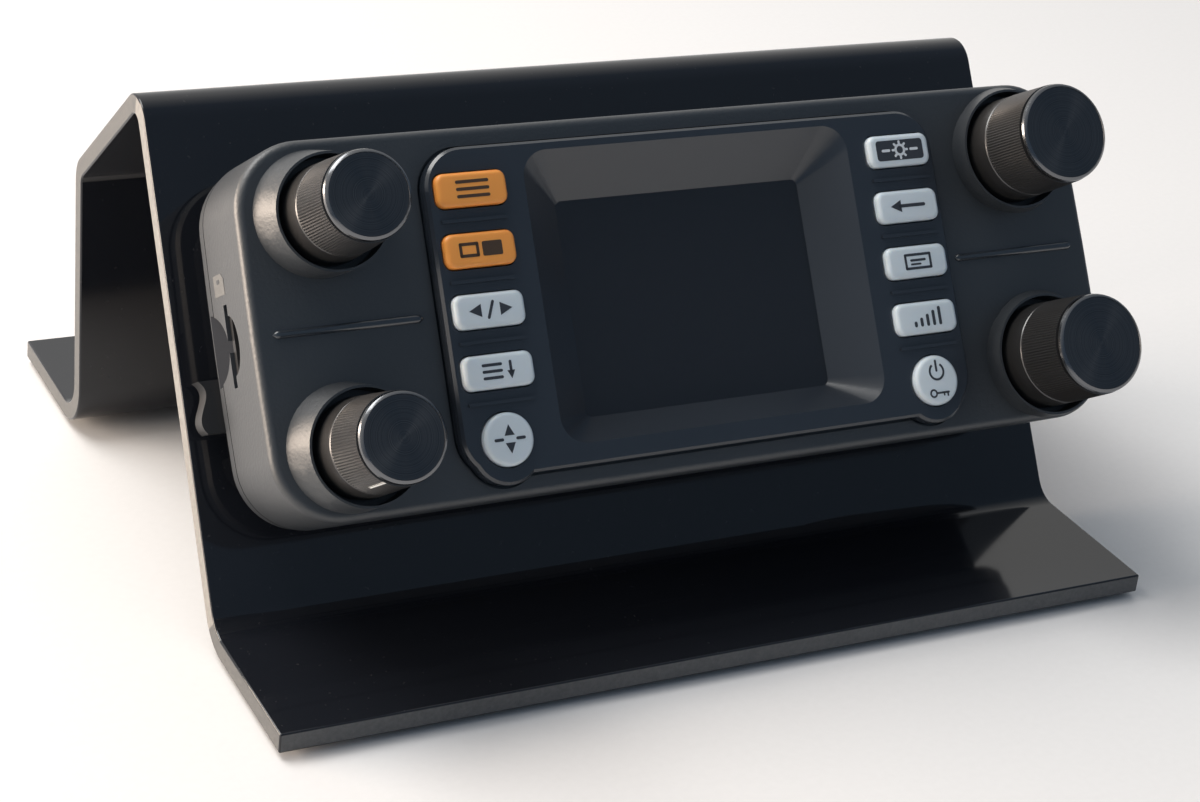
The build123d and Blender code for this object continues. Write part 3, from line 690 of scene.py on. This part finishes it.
def knobs():
    """The four knobs, each on its own turning body."""
    for side_name, side in (("left", -1), ("right", 1)):
        for kind, y in (("dial", DIAL_Y), ("volume", VOLUME_Y)):
            node = f"{kind}_knob_{side_name}"
            radius = knob_radius(node)
            name = f"{kind}_knob_turned_{side_name}"
            obj = knob_mesh(name, radius, NOSE_R[side_name], head_place(side * KNOB_X, y))
            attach(obj, f"{kind}_{side_name}")
            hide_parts(node)


# ------------------------------------------------------------------ keys

KEY_X = 35.6
KEY_W = 10.8
KEY_H = 4.9
KEY_R = 1.3
KEY_ROWS = (17.1, 8.5, -0.1, -8.7)
ROUND_KEY_Y = -18.3
ROUND_KEY_R = 3.8
KEY_TOP = 3.3
KEY_LOW = -2.4
KEY_EASE = 0.7
MARK_T = 0.035
PAD_W = 8.3
PAD_H = 3.1
BAR_MARK_SCALE = 1.22
DISC_MARK_SCALE = 1.28
LEFT_KEYS = ("menu_key", "group_key", "band_key", "memory_key")
RIGHT_KEYS = ("function_key", "back_key", "display_key", "squelch_key")
ORANGE_KEYS = ("menu_key", "group_key")
EASE_STEPS = 6


def key_cap(name, outline_at, cx, cy):
    """Key cap from an outline function of the inset, with a soft top edge."""
    rings = [[(x, y, KEY_LOW) for x, y in outline_at(0.0)]]
    rings.append([(x, y, KEY_TOP - KEY_EASE) for x, y in outline_at(0.0)])
    for step in range(1, EASE_STEPS + 1):
        turn = math.pi / 2 * step / EASE_STEPS
        inset = KEY_EASE * (1 - math.cos(turn))
        height = KEY_TOP - KEY_EASE + KEY_EASE * math.sin(turn)
        rings.append([(x, y, height) for x, y in outline_at(inset)])
    placed = [[(x + cx, y + cy, z) for x, y, z in ring] for ring in rings]
    return shade(ring_stack(name, placed, HEAD), 50)


def bar_outline(inset):
    """Outline of a bar key."""
    return rounded_outline(KEY_W - 2 * inset, KEY_H - 2 * inset, max(KEY_R - inset * 0.6, 0.4))


def disc_outline(inset):
    """Outline of a round key."""
    return circle_outline(ROUND_KEY_R - inset, 64)


def turned(points, angle, cx=0.0, cy=0.0):
    """Points turned about the origin, then moved."""
    c, s = math.cos(angle), math.sin(angle)
    return [(cx + x * c - y * s, cy + x * s + y * c) for x, y in points]


def stroke(x0, y0, x1, y1, width=0.34):
    """A straight pen stroke with rounded ends."""
    length = math.hypot(x1 - x0, y1 - y0)
    shape = rounded_outline(length + width, width, width / 2 - 0.001, 4)
    return turned(shape, math.atan2(y1 - y0, x1 - x0), (x0 + x1) / 2, (y0 + y1) / 2)


def arc_band(cx, cy, radius, width, start, end, steps=20):
    """Quads of a circular pen stroke between two angles in degrees."""
    quads = []
    for step in range(steps):
        a = math.radians(start + (end - start) * step / steps)
        b = math.radians(start + (end - start) * (step + 1) / steps)
        inner, outer = radius - width / 2, radius + width / 2
        quads.append([(cx + inner * math.cos(a), cy + inner * math.sin(a)),
                      (cx + outer * math.cos(a), cy + outer * math.sin(a)),
                      (cx + outer * math.cos(b), cy + outer * math.sin(b)),
                      (cx + inner * math.cos(b), cy + inner * math.sin(b))])
    return quads


def frame_strokes(cx, cy, width, height, pen=0.3):
    """Outline of a box."""
    x0, x1 = cx - width / 2, cx + width / 2
    y0, y1 = cy - height / 2, cy + height / 2
    return [stroke(x0, y0, x1, y0, pen), stroke(x1, y0, x1, y1, pen),
            stroke(x1, y1, x0, y1, pen), stroke(x0, y1, x0, y0, pen)]


def triangle(cx, cy, size, direction):
    """Solid arrowhead pointing along a direction in degrees."""
    points = [(size, 0), (-size * 0.6, size * 0.8), (-size * 0.6, -size * 0.8)]
    return turned(points, math.radians(direction), cx, cy)


def menu_mark():
    """Three lines."""
    return [stroke(-1.9, y, 1.9, y, 0.38) for y in (0.85, 0.0, -0.85)]


def group_mark():
    """An empty and a filled box."""
    solid = rounded_outline(2.5, 1.7, 0.2, 3, 1.35, 0.0)
    return [solid] + frame_strokes(-1.55, 0.0, 2.1, 1.35, 0.36)


def band_mark():
    """Two arrowheads and a stroke."""
    return [triangle(-1.75, 0, 0.95, 180), stroke(-0.35, -0.9, 0.35, 0.9), triangle(1.75, 0, 0.95, 0)]


def memory_mark():
    """A list and a down arrow."""
    return [stroke(-2.0, 0.75, 0.2, 0.75), stroke(-2.0, 0.0, 0.2, 0.0), stroke(-2.0, -0.75, 0.2, -0.75),
            stroke(1.4, 0.9, 1.4, -0.3), triangle(1.4, -0.45, 0.6, -90)]


def channel_mark():
    """Up and down arrowheads between dashes."""
    arrows = [triangle(0, 0.85, 0.75, 90), triangle(0, -0.85, 0.75, -90)]
    return arrows + [stroke(-1.7, 0, -0.9, 0), stroke(0.9, 0, 1.7, 0)]


def function_mark():
    """A cog between dashes."""
    teeth = [stroke(0.75 * math.cos(a), 0.75 * math.sin(a), 1.05 * math.cos(a), 1.05 * math.sin(a), 0.3)
             for a in (math.pi / 4 * k for k in range(8))]
    dashes = [stroke(1.6, 0, 2.5, 0), stroke(-1.6, 0, -2.5, 0)]
    return arc_band(0, 0, 0.62, 0.3, 0, 360, 24) + teeth + dashes


def back_mark():
    """An arrow to the left."""
    return [triangle(-1.7, 0, 0.95, 180), stroke(-1.3, 0, 2.2, 0, 0.42)]


def display_mark():
    """A framed page."""
    lines = [stroke(-1.0, 0.15, 1.0, 0.15, 0.3), stroke(-1.0, -0.35, 0.3, -0.35, 0.24)]
    return frame_strokes(0, 0, 3.6, 1.7, 0.32) + lines


def squelch_mark():
    """Five rising bars."""
    return [stroke(0.9 * step, -0.9, 0.9 * step, 0.2 + 0.4 * step, 0.42) for step in range(-2, 3)]


def power_mark():
    """A power sign over a small key."""
    ring = arc_band(0, 1.0, 0.95, 0.26, 125, 415, 30)
    key = arc_band(-0.85, -1.55, 0.42, 0.22, 0, 360, 18)
    shank = stroke(-0.4, -1.55, 1.25, -1.55, 0.24)
    bits = [stroke(1.1, -1.55, 1.1, -1.95, 0.2), stroke(0.6, -1.55, 0.6, -1.85, 0.2)]
    return ring + [stroke(0, 1.1, 0, 2.25, 0.28)] + key + [shank] + bits


MARKS = {
    "menu_key": menu_mark, "group_key": group_mark, "band_key": band_mark, "memory_key": memory_mark,
    "channel_key": channel_mark, "function_key": function_mark, "back_key": back_mark,
    "display_key": display_mark, "squelch_key": squelch_mark, "power_key": power_mark,
}


def mark_key(node, cx, cy, ink):
    """Print a key's symbol on its top."""
    lift = Matrix.Translation((cx, cy, 0))
    base = KEY_TOP
    if node == "function_key":
        pad = [rounded_outline(PAD_W, PAD_H, 0.5, 5)]
        panel = prism_set("function_key_panel", pad, KEY_TOP - 0.05, KEY_TOP + MARK_T, HEAD @ lift)
        dress(panel, "ink_dark")
        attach(panel, node)
        base += MARK_T
        ink = "ink_light"
    scale = BAR_MARK_SCALE if node in LEFT_KEYS + RIGHT_KEYS else DISC_MARK_SCALE
    size = Matrix.Diagonal((scale, scale, 1, 1))
    mark = prism_set(f"{node}_mark", MARKS[node](), base - 0.03, base + MARK_T, HEAD @ lift @ size)
    dress(mark, ink)
    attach(mark, node)


def finish_key(obj, node, cx, cy):
    """Colour a key cap, put it on its body and print its symbol."""
    orange = node in ORANGE_KEYS
    colour = "key_orange" if orange else "key_white"
    dress(obj, colour)
    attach(obj, node)
    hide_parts(node)
    mark_key(node, cx, cy, "ink_brown" if orange else "ink_dark")


def keys():
    """Four bar keys and a round key on each side of the window."""
    for side, names in ((-1, LEFT_KEYS), (1, RIGHT_KEYS)):
        for y, node in zip(KEY_ROWS, names):
            obj = key_cap(f"{node}_cap", bar_outline, side * KEY_X, y)
            finish_key(obj, node, side * KEY_X, y)
    for side, node in ((-1, "channel_key"), (1, "power_key")):
        obj = key_cap(f"{node}_cap", disc_outline, side * KEY_X, ROUND_KEY_Y)
        finish_key(obj, node, side * KEY_X, ROUND_KEY_Y)


# ------------------------------------------------------------------ details on the case

CREASE_X = (44.4, 66.6)
CREASE_W = 1.2
CREASE_UP = 0.5
CREASE_RISE = 36
CREASE_STEPS = 60
ARC_STEPS = 10
CARD_MARK = (8.7, -10.8)
WALL_X = 69.4


def crease(side_name, side):
    """Soft polished ridge across the face between two knobs, rounded off at both ends."""
    rings = []
    for step in range(CREASE_STEPS + 1):
        share = step / CREASE_STEPS
        x = CREASE_X[1] + (CREASE_X[0] - CREASE_X[1]) * share
        body = min(1.0, CREASE_RISE * share + 0.1, CREASE_RISE * (1 - share) + 0.1)
        ring = []
        for k in range(ARC_STEPS + 1):
            turn = math.pi * k / ARC_STEPS
            across = CREASE_W / 2 * body * math.cos(turn)
            ring.append((side * x, across, CREASE_UP * body * math.sin(turn) - 0.02))
        ring.append((side * x, 0.0, -0.12))
        rings.append(ring)
    obj = recalculated(ring_stack(f"face_crease_{side_name}", rings, HEAD))
    dress(obj, "glint")
    shade(obj, 50)
    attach(obj, "head")


def card_mark():
    """Small printed memory-card pictogram on the left wall, above the slot."""
    card = [(-2.1, -1.5), (2.1, -1.5), (2.1, 0.7), (1.2, 1.5), (-2.1, 1.5)]
    hole = rounded_outline(1.1, 0.6, 0.2, 3, -0.2, 0.5)
    y, z = CARD_MARK
    wall = HEAD @ Matrix(((0, 0, -1, 0), (0, 1, 0, y), (1, 0, 0, z), (0, 0, 0, 1)))
    obj = prism_set("card_mark", [card], WALL_X - 0.1, WALL_X + 0.09, wall)
    dress(obj, "ink_wall")
    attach(obj, "head")
    dot = prism_set("card_mark_slot", [hole], WALL_X, WALL_X + 0.13, wall)
    dress(dot, "case")
    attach(dot, "head")


# ------------------------------------------------------------------ CAD nodes that stay

KEPT = {
    "front_case": "case", "rear_case": "case", "center_bezel": "bezel", "mount_bracket": "bracket",
    "release_lever": "bracket", "stand_feet": "foot", "window_lens": "window", "display_panel": "display",
    "display_holder": "nylon", "display_flex": "film", "front_board": "board", "main_board": "board",
    "board_connector": "part", "controller_chip": "part", "controller_jack": "part", "memory_card": "part",
    "dome_switches": "gold", "card_socket": "steel",
    "keypad_mat_left": "silicone", "keypad_mat_right": "silicone",
    "push_plunger_left": "nylon", "push_plunger_right": "nylon", "volume_pointer_left": "pointer",
    "volume_pointer_right": "pointer", "dial_shaft_left": "steel", "dial_shaft_right": "steel",
    "volume_shaft_left": "steel", "volume_shaft_right": "steel", "dial_encoder_left": "part",
    "dial_encoder_right": "part", "volume_control_left": "part", "volume_control_right": "part",
    "lever_pin": "steel", "lever_spring": "steel", "bracket_screws": "steel", "bracket_washers": "steel",
    "bracket_nuts": "steel", "case_screws": "steel",
    "front_board_screws": "steel", "main_board_screws": "steel",
}
WELD_MM = 0.002
CRISP_ANGLE = 32.0
SCOOP_HALF = 5.6
SCOOP_INNER_X = -67.5
SCOOP_FRONT = -9.0
SCOOP_LEAN = (0.1, 0.3)


def soft_spring():
    """Give the lever's spring a mesh of its own."""
    spring = NODES["lever_spring"]
    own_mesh(spring)


def paint_scoop_shade(obj):
    """Painted shade: a darker, dull material without reflection on the slanting floor of the thumb scoop
    in the left wall.
    """
    obj.data.materials.append(MATERIALS["scoop"])
    to_head = HEAD.inverted() @ obj.matrix_world
    for face in obj.data.polygons:
        middle = to_head @ face.center
        facing = (to_head.to_3x3() @ face.normal).normalized()
        sits_in_scoop = abs(middle.y) < SCOOP_HALF and middle.x < SCOOP_INNER_X and middle.z < SCOOP_FRONT
        if sits_in_scoop and SCOOP_LEAN[0] < facing.z < SCOOP_LEAN[1] and facing.x < -0.9:
            face.material_index = 1


def kept_nodes():
    """Finish the CAD pieces that are shown, with flat faces kept flat."""
    for node, material in KEPT.items():
        obj = dress(NODES[node], material)
        weld = obj.modifiers.new("weld", "WELD")
        weld.merge_threshold = WELD_MM * MM
        split = obj.modifiers.new("crisp_edges", "EDGE_SPLIT")
        split.split_angle = math.radians(CRISP_ANGLE)
        weighted = obj.modifiers.new("flat_faces", "WEIGHTED_NORMAL")
        weighted.keep_sharp = True
    # Painted shade on the thumb scoop's floor, in both shells
    paint_scoop_shade(NODES["front_case"])
    paint_scoop_shade(NODES["rear_case"])


# ------------------------------------------------------------------ stage, light and camera

CAMERA_AZ = -29.875
CAMERA_EL = 23.005
CAMERA_ROLL = 6.807
CAMERA_TARGET = Vector((0.0, -0.0149, 0.049))
CAMERA_DISTANCE = 0.406034
CAMERA_LENS = 80.265
CAMERA_SHIFT = (-0.0288, -0.1367)
FLOOR_HALF = 3.0


def camera():
    """Camera in front of the object, to its left, slightly rolled."""
    az, el, roll = (math.radians(a) for a in (CAMERA_AZ, CAMERA_EL, CAMERA_ROLL))
    back = Vector((math.sin(az) * math.cos(el), -math.cos(az) * math.cos(el), math.sin(el)))
    right = (-back).cross(Vector((0, 0, 1))).normalized()
    up = right.cross(-back)
    rolled_right = right * math.cos(roll) + up * math.sin(roll)
    rolled_up = up * math.cos(roll) - right * math.sin(roll)
    data = bpy.data.cameras.new("main_camera")
    data.lens = CAMERA_LENS
    data.sensor_width = 36.0
    data.shift_x, data.shift_y = CAMERA_SHIFT
    data.clip_start = 0.01
    obj = new_object("main_camera", data)
    turn = Matrix((rolled_right, rolled_up, back)).transposed().to_4x4()
    obj.matrix_world = Matrix.Translation(CAMERA_TARGET + back * CAMERA_DISTANCE) @ turn
    bpy.context.scene.camera = obj


def floor():
    """Plain sweep under the object."""
    size = FLOOR_HALF
    corners = [(-size, -size, 0), (size, -size, 0), (size, size, 0), (-size, size, 0)]
    obj = mesh_object("floor", corners, [(0, 1, 2, 3)])
    obj.data.materials.append(floor_material())


def area_light(name, place, target, size, power, colour):
    """Rectangular soft light aimed at a point."""
    data = bpy.data.lights.new(name, "AREA")
    data.shape = "RECTANGLE"
    data.size, data.size_y = size
    data.energy = power
    data.color = colour
    obj = new_object(name, data)
    aim = (Vector(target) - Vector(place)).to_track_quat("-Z", "Y")
    obj.matrix_world = Matrix.Translation(place) @ aim.to_matrix().to_4x4()


FRONT_SKY = (0.135, 0.185, 0.25)
BACK_SKY = (0.82, 0.81, 0.79)
LEFT_SHARE = 0.6
LIGHT_TARGET = (0.0, 0.0, 0.04)


def world():
    """Pale room behind the object, dim and bluish on the camera's side."""
    scene_world = bpy.data.worlds.new("studio")
    scene_world.use_nodes = True
    nodes = scene_world.node_tree.nodes
    links = scene_world.node_tree.links
    direction = nodes.new("ShaderNodeTexCoord").outputs["Generated"]
    split = nodes.new("ShaderNodeSeparateXYZ")
    links.new(direction, split.inputs["Vector"])
    sideways = nodes.new("ShaderNodeMath")
    sideways.operation = "MULTIPLY_ADD"
    sideways.inputs[1].default_value = -LEFT_SHARE
    links.new(split.outputs["X"], sideways.inputs[0])
    links.new(split.outputs["Y"], sideways.inputs[2])
    behind = spread(nodes, links, sideways.outputs["Value"], 0.0, 1.0, -0.3, 0.35)
    links.new(blend_colour(nodes, links, behind, FRONT_SKY, BACK_SKY), nodes["Background"].inputs["Color"])
    nodes["Background"].inputs["Strength"].default_value = 1.0
    bpy.context.scene.world = scene_world


def lights():
    """A low warm window on the left and a soft light above."""
    window = (-0.85, 0.26, 0.16)
    above = (-0.36, 0.30, 0.82)
    area_light("window_left", window, LIGHT_TARGET, (0.8, 0.26), 14.0, (1.0, 0.83, 0.68))
    area_light("soft_top", above, LIGHT_TARGET, (0.56, 0.5), 6.0, (1.0, 0.99, 0.97))


stand_sheet()
knobs()
keys()
crease("left", -1)
crease("right", 1)
card_mark()
kept_nodes()
soft_spring()
floor()
world()
lights()
camera()
bpy.context.scene.view_settings.view_transform = "Standard"
